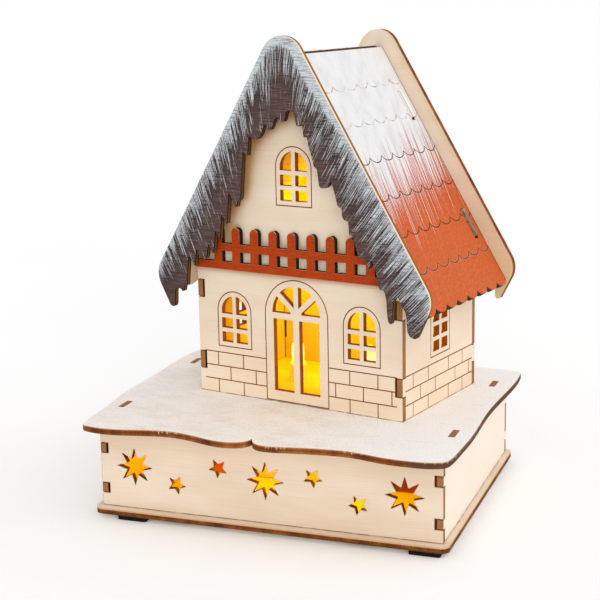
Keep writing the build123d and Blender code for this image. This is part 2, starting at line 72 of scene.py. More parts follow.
def slope(tree, value, low, high, start=0.0, end=1.0, way="LINEAR"):
    """A ramp: start below low, end above high, and a straight line between them."""
    sockets = {"Value": value, "From Min": low, "From Max": high, "To Min": start, "To Max": end}
    return put(tree, "MapRange", sockets, interpolation_type=way).outputs[0]


def rise(tree, value, low, high, start=0.0, end=1.0):
    """A soft step: start below low, end above high, and a smooth S between them."""
    return slope(tree, value, low, high, start, end, "SMOOTHSTEP")


def fall(tree, value, low, high, start=1.0):
    """A soft step down: start below low, 0 above high, and a smooth S between them."""
    return rise(tree, value, low, high, start, 0.0)


def stretched_noise(tree, place, stretch, detail=2.0, rough=0.55):
    """Noise on a place in mm. Each axis is first multiplied by its own stretch, so that a small one
    draws the noise long."""
    scaled = put(tree, "VectorMath", {0: place, 1: stretch}, operation="MULTIPLY").outputs[0]
    sockets = {"Vector": scaled, "Scale": 1.0, "Detail": detail, "Roughness": rough}
    return put(tree, "TexNoise", sockets).outputs[0]


def tint(tree, share, first, second, mode="MIX"):
    """A colour that goes from first to second with share."""
    sockets = {0: share, 6: first, 7: second}
    return put(tree, "Mix", sockets, data_type="RGBA", blend_type=mode).outputs[2]


def shades(tree, value, stops):
    """A colour from a ramp with the given (place, colour) stops."""
    ramp = put(tree, "ValToRGB", {0: value})
    while len(ramp.color_ramp.elements) < len(stops):
        ramp.color_ramp.elements.new(1.0)
    for element, (place, colour) in zip(ramp.color_ramp.elements, stops):
        element.position = place
        element.color = (*colour, 1.0)
    return ramp.outputs[0]


def new_finish(name, roughness):
    """An empty material with its Principled shader, which keeps the roughness given."""
    finish = bpy.data.materials.new(name)
    finish.use_nodes = True
    shader = finish.node_tree.nodes["Principled BSDF"]
    shader.inputs["Roughness"].default_value = roughness
    return finish, finish.node_tree, shader


def place_in_mm(tree):
    """The point on the piece in its own coordinates, in mm."""
    point = put(tree, "TexCoord").outputs["Object"]
    return put(tree, "VectorMath", {0: point, "Scale": 1000.0}, operation="SCALE").outputs[0]


def raise_surface(tree, shader, height, depth):
    """Bump of the given depth in metres on the shader's normal."""
    bump = put(tree, "Bump", {"Height": height, "Distance": depth, "Strength": 1.0})
    tree.links.new(bump.outputs[0], shader.inputs["Normal"])


def dress(finish, *nodes):
    """Gives CAD nodes a finish in place of the plain one they come with."""
    for node in nodes:
        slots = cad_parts[node].data.materials
        slots.clear()
        slots.append(finish)


felt, tree, shader = new_finish("felt", 0.95)
place = place_in_mm(tree)
fuzz = stretched_noise(tree, place, (3.5, 3.5, 3.5), 4.0, 0.7)
clumps = stretched_noise(tree, place, (0.35, 0.35, 0.8))
shade = shades(tree, weighed(tree, (clumps, 0.3), (fuzz, 0.7)), felt_shades)
fill(tree, shader, {"Base Color": shade, "Specular IOR Level": 0.1})
raise_surface(tree, shader, fuzz, felt_fuzz)
dress(felt, "foot_front_left", "foot_front_right", "foot_back_left", "foot_back_right")

# --------------------------------------------------------------------------------------------------
# Bottom plate: 3 mm limewood plywood, cut by laser, so its edge is burnt brown with three plies in
# it. It stands a little proud of the four walls, whose tabs are glued into its slots. Inside the
# base its top is given painted lamp light, with painted shadow toward the back and in the right
# corner; its edge has a painted highlight along the top and darkens toward the bottom.

ply = 3.0
engraving = 0.32
veneer_ridges = 0.00006
scorch_reach = 0.0007
wood_shades = [(0.25, (0.690, 0.530, 0.380)), (0.50, (0.795, 0.655, 0.508)),
               (0.85, (0.880, 0.775, 0.660))]
char_shades = [(0.30, (0.070, 0.018, 0.003)), (0.46, (0.205, 0.052, 0.007)),
               (0.60, (0.300, 0.098, 0.019)), (0.74, (0.430, 0.190, 0.056))]
pore_brown, middle_ply_tone = (0.58, 0.41, 0.27, 1.0), (0.60, 0.48, 0.42, 1.0)
engraved_brown, scorch_brown = (0.180, 0.046, 0.005, 1.0), (0.62, 0.34, 0.12, 1.0)
# Painted lamp light: an amber multiplied into faces inside the base and the house, for the warm
# lamps.
painted_lamp_amber = (1.0, 0.93, 0.20, 1.0)
# Painted shadow: colours that darken the base floor toward the back and in its right corner.
shadow_left_tone, shadow_right_tone = (0.92, 0.27, 0.30, 1.0), (0.42, 0.11, 0.30, 1.0)
corner_shade_tone = (0.030, 0.012, 0.004, 1.0)
lit_top_tan, lower_dark_brown = (0.66, 0.44, 0.25, 1.0), (0.075, 0.028, 0.008, 1.0)


def axes(tree, vector):
    """The x, y and z of a vector."""
    return put(tree, "SeparateXYZ", {0: vector}).outputs


def band(tree, value, start, full, fading, end):
    """A soft band: 0 below start, 1 from full to fading, and 0 again above end."""
    return times(tree, rise(tree, value, start, full), fall(tree, value, fading, end))


def shader_group(name, wanted, given):
    """An empty node group with named inputs and outputs; returns it with the sockets that come in
    and the node that puts its results out."""
    made = bpy.data.node_groups.new(name, "ShaderNodeTree")
    for way, sockets in (("INPUT", wanted), ("OUTPUT", given)):
        for socket, kind in sockets.items():
            made.interface.new_socket(socket, in_out=way, socket_type="NodeSocket" + kind)
    return made, made.nodes.new("NodeGroupInput").outputs, made.nodes.new("NodeGroupOutput")


def use(tree, group, sockets):
    """Places a node group and fills its inputs; returns its outputs by name."""
    return put(tree, "Group", sockets, node_tree=group).outputs


def sheet_faces_group():
    """Where a point lies on a sheet. Place is the point in the sheet's own frame in mm: x along it,
    y up it and z out of its front face. Depth is the way in from that face, Cut is 1 on the cut
    edges, Front and Back are 1 on the two faces, and Groove is 1 on the floor and the sides of a
    line engraved in the front one."""
    masks = dict.fromkeys(("Depth", "Cut", "Front", "Back", "Groove"), "Float")
    made, given, results = shader_group(
        "sheet_faces", {"Spot": "Vector", "Turn": "Vector"}, {"Place": "Vector", **masks})
    where = put(made, "TexCoord").outputs
    to_sheet = {"Vector": where["Object"], "Location": given["Spot"], "Rotation": given["Turn"],
                "Scale": (0.001,) * 3}
    own = put(made, "Mapping", to_sheet, vector_type="TEXTURE").outputs[0]
    turned = {"Vector": where["Normal"], "Rotation": given["Turn"]}
    out = axes(made, put(made, "Mapping", turned, vector_type="TEXTURE").outputs[0])[2]
    depth = times(made, axes(made, own)[2], -1.0)
    cut = fall(made, calc(made, "ABSOLUTE", out), 0.5, 0.8)
    outer = rise(made, out, 0.4, 0.6)
    sunk = rise(made, depth, 0.08, 0.16)
    line_side = times(made, cut, fall(made, depth, engraving, engraving + 0.05))
    fill(made, results, {
        "Place": own, "Depth": depth, "Cut": cut, "Back": fall(made, out, -0.6, -0.4),
        "Front": times(made, outer, calc(made, "SUBTRACT", 1.0, sunk)),
        "Groove": calc(made, "MAXIMUM", times(made, outer, sunk), line_side)})
    return made


def ply_grain_group():
    """Pale limewood veneer with its grain along x: Colour, and Height for its fine ridges. Pale
    shifts a sheet's own shade, because no two veneers are alike; on the right base panel it also
    makes the veneer paler as painted light from that side."""
    made, given, results = shader_group(
        "ply_grain", {"Place": "Vector", "Pale": "Float"}, {"Colour": "Color", "Height": "Float"})
    place = given["Place"]
    streak = stretched_noise(made, place, (0.035, 2.8, 0.4), 3.0, 0.6)
    fibre = stretched_noise(made, place, (0.16, 5.0, 1.0), 2.0, 0.6)
    cloud = stretched_noise(made, place, (0.014, 0.045, 0.03))
    figure = weighed(made, (given["Pale"], 1.0), (cloud, 0.60), (streak, 0.40))
    pores = rise(made, fibre, 0.60, 0.76, 0.0, 0.22)
    fill(made, results, {
        "Colour": tint(made, pores, shades(made, figure, wood_shades), pore_brown),
        "Height": weighed(made, (fibre, 0.5), (streak, 0.5))})
    return made


def burnt_edge_group():
    """Laser-cut edge: brown char in fine lines across the sheet, patchy along it, with the
    cross-grained middle ply darker than the outer two."""
    made, given, results = shader_group(
        "burnt_edge", {"Place": "Vector", "Depth": "Float"}, {"Colour": "Color"})
    lines = stretched_noise(made, given["Place"], (1.5, 1.5, 0.12), 2.0, 0.6)
    patches = stretched_noise(made, given["Place"], (0.11, 0.11, 0.05))
    char = shades(made, weighed(made, (patches, 0.70), (lines, 0.30)), char_shades)
    third, soft = ply / 3, 0.12
    inner = band(made, given["Depth"], third - soft, third + soft, 2 * third - soft, 2 * third + soft)
    char = tint(made, times(made, inner, 0.75), char, middle_ply_tone, "MULTIPLY")
    fill(made, results, {"Colour": char})
    return made


def scorched_rim_group():
    """How near a point is to a cut or an engraved line of its own piece, 1 at the line and 0 a
    Reach away: the surface's rounded normal leans away from the true one there."""
    made, given, results = shader_group("scorched_rim", {"Reach": "Float"}, {"Rim": "Float"})
    rounded = put(made, "Bevel", {"Radius": given["Reach"]}, samples=4).outputs[0]
    true = put(made, "NewGeometry").outputs["Normal"]
    agree = put(made, "VectorMath", {0: rounded, 1: true}, operation="DOT_PRODUCT").outputs["Value"]
    fill(made, results, {"Rim": fall(made, agree, 0.72, 1.0)})
    return made


sheet_faces = sheet_faces_group()
ply_grain = ply_grain_group()
burnt_edge = burnt_edge_group()
scorched_rim = scorched_rim_group()


def sheet_finish(name, spot, turn, pale=0.0):
    """What all plywood finishes share, for a sheet at its spot in mm and its turn in degrees."""
    finish, tree, shader = new_finish(name, 0.72)
    shader.inputs["Specular IOR Level"].default_value = 0.12
    faces = use(tree, sheet_faces, {
        "Spot": [v / 1000 for v in spot], "Turn": [math.radians(v) for v in turn]})
    grain = use(tree, ply_grain, {"Place": faces["Place"], "Pale": pale})
    edge = use(tree, burnt_edge, {"Place": faces["Place"], "Depth": faces["Depth"]})
    return finish, tree, shader, faces, grain, edge


def bare_colour(tree, faces, grain, edge, lamp_glow_share=None):
    """Bare plywood: veneer on the faces, a little scorched beside cuts and lines, brown in the
    lines and cuts. Where the last mask is 1, the face is given painted lamp light: an amber that
    stands in for the warm lamps inside."""
    rim = use(tree, scorched_rim, {"Reach": scorch_reach})["Rim"]
    broken = stretched_noise(tree, faces["Place"], (0.25, 0.25, 0.25))
    scorch = times(tree, rim, rise(tree, broken, 0.35, 0.65, 0.28, 0.75))
    face = tint(tree, scorch, grain["Colour"], scorch_brown)
    if lamp_glow_share:
        face = tint(tree, lamp_glow_share, face, painted_lamp_amber, "MULTIPLY")
    face = tint(tree, faces["Cut"], face, edge["Colour"])
    return tint(tree, faces["Groove"], face, engraved_brown)


def within(tree, place, half_x, half_y):
    """1 where a place in mm lies inside a rectangle of the given half sizes about its origin."""
    sides = axes(tree, put(tree, "VectorMath", {0: place}, operation="ABSOLUTE").outputs[0])
    return times(tree, calc(tree, "LESS_THAN", sides[0], half_x),
                 calc(tree, "LESS_THAN", sides[1], half_y))


def middle_top(node):
    """The middle of a CAD node's top face, in mm."""
    low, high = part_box(node)
    return [(low.x + high.x) * 500, (low.y + high.y) * 500, high.z * 1000]


base_low, base_high = (v * 1000 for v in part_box("base_front_panel"))
side_low, side_high = (v * 1000 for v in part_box("base_right_panel"))
base_half_width = (base_high.x - base_low.x) / 2
base_half_depth = (side_high.y - side_low.y) / 2
bottom, tree, shader, faces, grain, edge = sheet_finish(
    "bottom_ply", middle_top("base_bottom_plate"), (0, 0, 0))
place = faces["Place"]
parts = axes(tree, place)
in_base = within(tree, place, base_half_width - ply, base_half_depth - ply)
# Painted lamp light: the top of the plate inside the base takes the amber of the lamps.
lamp_glow_share = times(tree, in_base, faces["Front"])
colour = bare_colour(tree, faces, grain, edge, lamp_glow_share)
# Painted shadow: the floor inside the base turns darker and redder toward the back.
shadow_tone = tint(tree, rise(tree, parts[0], -10.0, 40.0), shadow_left_tone, shadow_right_tone)
darkened_share = times(tree, rise(tree, parts[1], -10.5, -7.5), lamp_glow_share)
colour = tint(tree, darkened_share, colour, shadow_tone, "MULTIPLY")
# Painted shade: the floor is nearly black in the right corner of the base.
dark_corner = times(tree, rise(tree, parts[0], 68.0, 72.0, 0.0, 0.97), lamp_glow_share)
colour = tint(tree, dark_corner, colour, corner_shade_tone)
# The edge is pale along its top, partly its top ply and partly a painted highlight, and darker toward
# the bottom in ragged patches.
lit_top = fall(tree, faces["Depth"], 0.55, 1.00, 0.85)
long_patch = stretched_noise(tree, place, (0.035, 0.035, 0.05))
ragged_depth = calc(tree, "MULTIPLY_ADD", long_patch, 3.0, faces["Depth"])
lower_dark = rise(tree, ragged_depth, 3.4, 4.4, 0.0, 0.8)
side = tint(tree, lit_top, edge["Colour"], lit_top_tan)
side = tint(tree, lower_dark, side, lower_dark_brown)
fill(tree, shader, {"Base Color": tint(tree, faces["Cut"], colour, side)})
raise_surface(tree, shader, grain["Height"], veneer_ridges)
dress(bottom, "base_bottom_plate")

# --------------------------------------------------------------------------------------------------
# Battery case and lid: moulded pale plastic, let into the bottom plate; the lid slides out to the
# back. Spark-eroded mould steel leaves a fine even grain on every face.

case_shades = [(0.35, (0.50, 0.46, 0.39)), (0.65, (0.58, 0.54, 0.46))]
case_grain = 0.00004
case_plastic, tree, shader = new_finish("case_plastic", 0.5)
place = place_in_mm(tree)
speckle = stretched_noise(tree, place, (5.0, 5.0, 5.0), 2.0, 0.7)
flow = stretched_noise(tree, place, (0.04, 0.09, 0.09))
fill(tree, shader, {"Base Color": shades(tree, flow, case_shades),
                    "Roughness": rise(tree, speckle, 0.3, 0.7, 0.42, 0.58)})
raise_surface(tree, shader, speckle, case_grain)
dress(case_plastic, "battery_case", "battery_lid")

# --------------------------------------------------------------------------------------------------
# Slide switch: a black moulded body in its pocket, with a slider whose knob shows in the slot of
# the case. Both are as they left the mould, a little rubbed.

switch_shades = [(0.3, (0.020, 0.020, 0.021)), (0.7, (0.042, 0.041, 0.040))]
switch_grain = 0.00003
switch_plastic, tree, shader = new_finish("switch_plastic", 0.4)
place = place_in_mm(tree)
grit = stretched_noise(tree, place, (4.0, 4.0, 4.0), 3.0, 0.7)
rubbed = stretched_noise(tree, place, (0.5, 0.5, 0.5))
fill(tree, shader, {"Base Color": shades(tree, rubbed, switch_shades),
                    "Roughness": rise(tree, grit, 0.3, 0.7, 0.30, 0.52)})
raise_surface(tree, shader, grit, switch_grain)
dress(switch_plastic, "switch_body", "switch_slider")

# --------------------------------------------------------------------------------------------------
# Cells and contacts: two round cells in shrink-on film, nub to the right, between pressed and
# nickelled plates. The film is glossy with a paler ring near the nub; the plates show the lines of
# the rolled strip.

cell_low, cell_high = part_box("battery_cell_front")
cell_left, cell_right = cell_low.x * 1000, cell_high.x * 1000
nub_length, bare_ring = 1.0, 1.2
ring_start, ring_end = 13.0, 9.0
film_shades = [(0.3, (0.030, 0.095, 0.062)), (0.7, (0.050, 0.140, 0.095))]
ring_pale, cell_steel = (0.52, 0.55, 0.50, 1.0), (0.62, 0.61, 0.58, 1.0)
film_wrinkles = 0.00005
cell_film, tree, shader = new_finish("cell_film", 0.22)
place = place_in_mm(tree)
along = axes(tree, place)[0]
metal = calc(tree, "MAXIMUM", calc(tree, "LESS_THAN", along, cell_left + bare_ring),
             calc(tree, "GREATER_THAN", along, cell_right - nub_length - bare_ring))
ring = times(tree, calc(tree, "GREATER_THAN", along, cell_right - ring_start),
             calc(tree, "LESS_THAN", along, cell_right - ring_end))
wrinkle = stretched_noise(tree, place, (0.3, 1.2, 1.2), 3.0)
film = tint(tree, ring, shades(tree, wrinkle, film_shades), ring_pale)
fill(tree, shader, {"Base Color": tint(tree, metal, film, cell_steel), "Metallic": metal,
                    "Roughness": rise(tree, wrinkle, 0.3, 0.7, 0.16, 0.32)})
raise_surface(tree, shader, wrinkle, film_wrinkles)
dress(cell_film, "battery_cell_front", "battery_cell_rear")

nickel_shades = [(0.3, (0.52, 0.50, 0.46)), (0.7, (0.72, 0.71, 0.68))]
strip_lines = 0.00002
nickel, tree, shader = new_finish("nickel_strip", 0.3)
place = place_in_mm(tree)
rolled = stretched_noise(tree, place, (0.4, 0.15, 9.0), 2.0, 0.6)
tarnish = stretched_noise(tree, place, (0.4, 0.4, 0.4))
fill(tree, shader, {"Base Color": shades(tree, tarnish, nickel_shades), "Metallic": 1.0,
                    "Roughness": rise(tree, rolled, 0.3, 0.7, 0.22, 0.42)})
raise_surface(tree, shader, rolled, strip_lines)
dress(nickel, "battery_link_contact", "battery_minus_contact", "battery_plus_contact")

# --------------------------------------------------------------------------------------------------
# Base walls: four plywood panels with finger joints at the corners; the front one has stars sawn
# through it. All are bare, with the grain lying along them; the right one is made paler as painted
# light on that side.

base_middle_x = (base_low.x + base_high.x) / 2
base_middle_y = (side_low.y + side_high.y) / 2
plate_top = base_low.z + ply
tab_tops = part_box("base_top_plate")[1].z * 1000 - plate_top
painted_gap_shade, notch_shade_brown = (0.020, 0.010, 0.005, 1.0), (0.300, 0.130, 0.045, 1.0)
tab_tan, foot_shadow_brown = (0.400, 0.190, 0.075, 1.0), (0.150, 0.062, 0.022, 1.0)
star_brown, inner_corner_shade = (0.150, 0.040, 0.010, 1.0), (0.120, 0.038, 0.008, 1.0)
tab_rim_reach, star_rim_reach = 0.0006, 0.0008


def wall_colour(tree, faces, grain, edge, half_length, front_end=0, tab_end=None, reveal=None):
    """Bare plywood of a wall: painted lamp light inside, painted shade in the gaps of its corner
    joints, in its inside corners and along its foot; tan on the ends of its tabs, with dark painted
    shade round them, and of the colour reveal in its openings. A wall that runs from front to back
    has its front_end at plus or minus x; tab_end is the height of the tabs on its top. Returns the
    colour with the place's x, y and z."""
    parts = axes(tree, faces["Place"])
    aside = calc(tree, "ABSOLUTE", parts[0])
    # Painted lamp light: the inner face takes the lamps' amber.
    colour = bare_colour(tree, faces, grain, edge, faces["Back"])
    inner_end = half_length - ply
    # Painted shade: a dark line down each inside corner.
    corner_line = times(tree, rise(tree, aside, inner_end - 0.4, inner_end - 0.1), faces["Back"])
    colour = tint(tree, corner_line, colour, inner_corner_shade)
    if reveal:
        opening = fall(tree, aside, half_length - 7.0, half_length - 6.0)
        opening = times(tree, opening, faces["Cut"])
        colour = tint(tree, opening, colour, tint(tree, 0.7, edge["Colour"], reveal))
    # Painted shade: a wall running front to back is nearly black on its inner face where it shows
    # through the corner gaps; the other walls get a flat dark brown on their notch walls, so no lamp
    # light shows there.
    if front_end:
        to_front = times(tree, parts[0], front_end)
        in_gap = rise(tree, to_front, half_length - 9.0, half_length - 8.0)
        in_gap = times(tree, in_gap, faces["Back"])
    else:
        in_gap = rise(tree, aside, inner_end - 1.6, inner_end - 1.4)
        in_gap = times(tree, in_gap, faces["Cut"])
    colour = tint(tree, in_gap, colour, painted_gap_shade if front_end else notch_shade_brown)
    # Painted contact shadow: a broken dark line along the foot of the outer face.
    broken = stretched_noise(tree, faces["Place"], (0.12, 0.12, 0.12), 3.0, 0.6)
    broken = rise(tree, broken, 0.36, 0.56, 0.2, 0.85)
    foot_shadow = times(tree, fall(tree, parts[1], 0.25, 0.60), broken)
    colour = tint(tree, times(tree, foot_shadow, faces["Front"]), colour, foot_shadow_brown)
    ends = rise(tree, aside, half_length - 0.25, half_length - 0.10)
    if tab_end:
        ends = calc(tree, "MAXIMUM", ends, rise(tree, parts[1], tab_end - 0.25, tab_end - 0.10))
    # Painted shade: the tab ends get dark rims where the gaps round them fall in shadow.
    rim = use(tree, scorched_rim, {"Reach": tab_rim_reach})["Rim"]
    end_colour = tint(tree, 0.65, edge["Colour"], tab_tan)
    end_colour = tint(tree, times(tree, rim, 0.8), end_colour, painted_gap_shade)
    return tint(tree, times(tree, ends, faces["Cut"]), colour, end_colour), parts


for side, (spot_x, spot_y, round_z, front_end, pale, half) in {
        "front": (base_middle_x, base_low.y, 0, 0, -0.06, base_half_width),
        "back": (base_middle_x, side_high.y, 180, 0, 0.0, base_half_width),
        # Painted light: the right panel's veneer is made much paler, for the stronger light on that
        # side.
        "right": (base_high.x, base_middle_y, 90, -1, 0.38, base_half_depth),
        "left": (base_low.x, base_middle_y, -90, 1, 0.1, base_half_depth)}.items():
    panel, tree, shader, faces, grain, edge = sheet_finish(
        f"base_{side}_ply", (spot_x, spot_y, plate_top), (90, 0, round_z), pale)
    colour = wall_colour(tree, faces, grain, edge, half, front_end, tab_tops)[0]
    if side == "front":
        rim = use(tree, scorched_rim, {"Reach": star_rim_reach})["Rim"]
        rim = times(tree, rise(tree, rim, 0.25, 0.75, 0.0, 0.75), faces["Front"])
        colour = tint(tree, rim, colour, star_brown)
    fill(tree, shader, {"Base Color": colour})
    raise_surface(tree, shader, grain["Height"], veneer_ridges)
    dress(panel, f"base_{side}_panel")

# --------------------------------------------------------------------------------------------------
# Lamps: four warm diodes with a round dome, each pushed into a stub of amber tube that is glued to
# a plate. Two light the base behind the stars, and two light the room of the house, shining at its
# back wall. The amber tubes are given a painted glow.

house_turn = -12.65
turn_sine, turn_cosine = math.sin(math.radians(house_turn)), math.cos(math.radians(house_turn))
to_back_wall = Vector((-turn_sine, turn_cosine, -0.38))
room_cone, cone_blend, lamp_softness = math.radians(178), 0.12, 0.012
room_warm, base_warm = (1.0, 0.72, 0.003), (1.0, 0.66, 0.003)
room_lamp, base_lamp = ("SPOT", 0.086, 0.046, room_warm), ("POINT", 0.057, 0.012, base_warm)
dome_foot, dome_core, dome_strength = (0.60, 0.40, 0.006), (1.0, 0.82, 0.26), 1.5
dome_glow = [(0.15, dome_foot), (0.42, dome_core), (0.56, dome_core), (0.86, dome_foot)]
dome_shades = [(0.1, (0.9, 0.72, 0.40)), (0.7, (1.0, 0.86, 0.55))]
for lamp, (kind, watts, above, warm) in {
        "house_left": room_lamp, "house_right": room_lamp,
        "base_left": base_lamp, "base_right": base_lamp}.items():
    lamp_low, lamp_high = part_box("lamp_" + lamp)
    light = bpy.data.lights.new("light_" + lamp, kind)
    light.energy, light.color, light.shadow_soft_size = watts, warm, lamp_softness
    shine = bpy.data.objects.new("light_" + lamp, light)
    shine.location = (lamp_low + lamp_high) / 2
    shine.location.z = lamp_high.z + above
    shine.visible_camera = False
    if kind == "SPOT":
        light.spot_size, light.spot_blend = room_cone, cone_blend
        shine.rotation_euler = (-to_back_wall).to_track_quat("Z", "Y").to_euler()
    bpy.context.scene.collection.objects.link(shine)
    glow, tree, shader = new_finish("lamp_glow_" + lamp, 0.2)
    place = place_in_mm(tree)
    share = rise(tree, axes(tree, place)[2], lamp_low.z * 1000, lamp_high.z * 1000)
    ripple = stretched_noise(tree, place, (0.8, 0.8, 0.8))
    share = weighed(tree, (share, 0.8), (ripple, 0.2))
    fill(tree, shader, {"Base Color": shades(tree, share, dome_shades),
                        "Emission Color": shades(tree, share, dome_glow),
                        "Emission Strength": dome_strength})
    dress(glow, "lamp_" + lamp)

amber_shades = [(0.3, (0.66, 0.52, 0.20)), (0.7, (0.78, 0.63, 0.26))]
# Painted glow: the amber tubes are made to glow, though they are no lamps.
painted_collar_glow, collar_glow_strength = [(0.3, (0.85, 0.44, 0.006)), (0.7, (1.0, 0.58, 0.010))], 0.45
collar_lines = 0.00004
collar_plastic, tree, shader = new_finish("collar_plastic", 0.45)
skin = stretched_noise(tree, place_in_mm(tree), (2.0, 2.0, 0.3))
fill(tree, shader, {"Base Color": shades(tree, skin, amber_shades),
                    "Emission Color": shades(tree, skin, painted_collar_glow),
                    "Emission Strength": collar_glow_strength})
raise_surface(tree, shader, skin, collar_lines)
dress(collar_plastic, "lamp_collar_house_left", "lamp_collar_house_right",
      "lamp_collar_base_left", "lamp_collar_base_right")

# --------------------------------------------------------------------------------------------------
# Snow plate: the wavy plywood top of the base, rubbed with thin white wash that the grain still
# shows through. A little glitter lies in the wash, which stops at the house; the edge is burnt,
# with a pale line along its top. The bare floor under the house and the underside over the base
# are given painted lamp light.

house_x, house_y = 8.24, 19.906
house_half_width, house_half_depth = 58.5, 38.6
wash_shades = [(0.30, (0.860, 0.800, 0.755)), (0.55, (0.985, 0.965, 0.945))]
smudge_brown, glitter = (0.72, 0.52, 0.38, 1.0), (0.97, 0.97, 0.97, 1.0)
painted_room_glow = (1.18, 1.14, 0.16, 1.0)
dark_edge, pale_edge = (0.070, 0.040, 0.026, 1.0), (0.60, 0.44, 0.31, 1.0)
wash_depth = 0.00030
snow, tree, shader, faces, grain, edge = sheet_finish(
    "snow_wash", middle_top("base_top_plate"), (0, 0, 0))
place = faces["Place"]
sideways = axes(tree, place)[0]
brush = stretched_noise(tree, place, (0.09, 0.75, 0.5), 4.0, 0.65)
patch = stretched_noise(tree, place, (0.05, 0.09, 0.05), 3.0, 0.6)
sand = stretched_noise(tree, place, (0.9, 1.1, 1.0), 4.0, 0.75)
cover = weighed(tree, (brush, 0.35), (sand, 0.35), (patch, 0.30))
cover = calc(tree, "ADD", cover, slope(tree, sideways, 10.0, 85.0, 0.03, 0.12))
wash = rise(tree, cover, 0.39, 0.60, 0.36, 1.0)
face = tint(tree, wash, grain["Colour"], shades(tree, sand, wash_shades))
smudge = stretched_noise(tree, place, (0.10, 0.30, 0.1), 5.0, 0.70)
smudge = rise(tree, smudge, 0.57, 0.73, 0.0, 0.42)
smudge = times(tree, smudge, rise(tree, sideways, -60.0, 20.0, 0.3, 1.0))
face = tint(tree, smudge, face, smudge_brown)
cells = put(tree, "TexVoronoi", {"Vector": place, "Scale": 0.9}, feature="F1").outputs
chance = put(tree, "SeparateColor", {0: cells["Color"]}).outputs[0]
sparkle = times(tree, fall(tree, cells["Distance"], 0.06, 0.14),
                calc(tree, "GREATER_THAN", chance, 0.82))
face = tint(tree, times(tree, sparkle, 0.8), face, glitter)
in_house = put(tree, "Mapping", {
    "Vector": put(tree, "TexCoord").outputs["Object"], "Scale": (0.001,) * 3,
    "Rotation": (0, 0, math.radians(house_turn)),
    "Location": (house_x / 1000, house_y / 1000, 0.0)}, vector_type="TEXTURE").outputs[0]
# Painted lamp light: the bare floor under the house takes the amber of the lamps inside.
under_house = within(tree, in_house, house_half_width - ply, house_half_depth - ply)
room_floor_glow = tint(tree, 1.0, grain["Colour"], painted_room_glow, "MULTIPLY")
face = tint(tree, under_house, face, room_floor_glow)
base_middle = (base_middle_x, base_middle_y, 0.0)
from_middle = {0: place_in_mm(tree), 1: base_middle}
from_middle = put(tree, "VectorMath", from_middle, operation="SUBTRACT").outputs[0]
over_base = within(tree, from_middle, base_half_width - ply, base_half_depth - ply)
# Painted lamp light: the underside over the base takes the lamps' amber too.
underside = tint(tree, over_base, grain["Colour"],
                 tint(tree, 1.0, grain["Colour"], painted_lamp_amber, "MULTIPLY"))
face = tint(tree, faces["Front"], underside, face)
fleck = rise(tree, stretched_noise(tree, place, (0.9, 0.9, 0.2), 3.0, 0.7), 0.46, 0.70)
stretch = stretched_noise(tree, place, (0.028, 0.028, 0.02), 1.0)
fleck = times(tree, fleck, rise(tree, stretch, 0.50, 0.60, 0.05, 1.0))
below_wash = calc(tree, "SUBTRACT", faces["Depth"], calc(tree, "MULTIPLY_ADD", fleck, 1.5, 0.30))
side = tint(tree, rise(tree, sideways, 64.0, 82.0, 0.0, 0.7), edge["Colour"], dark_edge)
side = tint(tree, fall(tree, below_wash, -0.20, 0.20, 0.75), side, pale_edge)
fill(tree, shader, {"Base Color": tint(tree, faces["Cut"], face, side)})
raise_surface(tree, shader, cover, wash_depth)
dress(snow, "base_top_plate")

# --------------------------------------------------------------------------------------------------
# House walls: bare plywood with windows and a door sawn out, bricks and frames engraved by the
# laser. The house stands turned on the base; fingers lock the walls at the corners, and tabs hold
# them to the snow. Their feet are brightened with painted light bounced from the snow, and the front
# one has painted shade under the icicle board and a painted shadow below the fence.

house_floor = 49.5
roof_slope, ridge_inside = 58.5, 168.46
slope_rise = math.tan(math.radians(roof_slope))
slope_sine, slope_cosine = math.sin(math.radians(roof_slope)), math.cos(math.radians(roof_slope))
tab_top, tab_long, tab_step, tab_reach = 25.8, 15.2, 68.1, 5.6
shelter_reach, fence_foot = 0.025, 65.0
reveal_brown, painted_snow_bounce = (0.40, 0.115, 0.013, 1.0), (1.14, 1.10, 1.02, 1.0)
shelter_shade_tone, fence_shadow_tone = (0.64, 0.47, 0.27, 1.0), (0.85, 0.64, 0.50, 1.0)
tab_shades = [(0.35, (0.190, 0.098, 0.056)), (0.65, (0.400, 0.250, 0.160))]
tab_white, tab_corner, tab_gap = (
    (0.82, 0.79, 0.74, 1.0), (0.170, 0.078, 0.032, 1.0), (0.012, 0.007, 0.005, 1.0))


def house_spot(x, y, z):
    """A point of the turned house in mm, x and y from its middle and z from its floor."""
    return (house_x + turn_cosine * x - turn_sine * y,
            house_y + turn_sine * x + turn_cosine * y, house_floor + z)


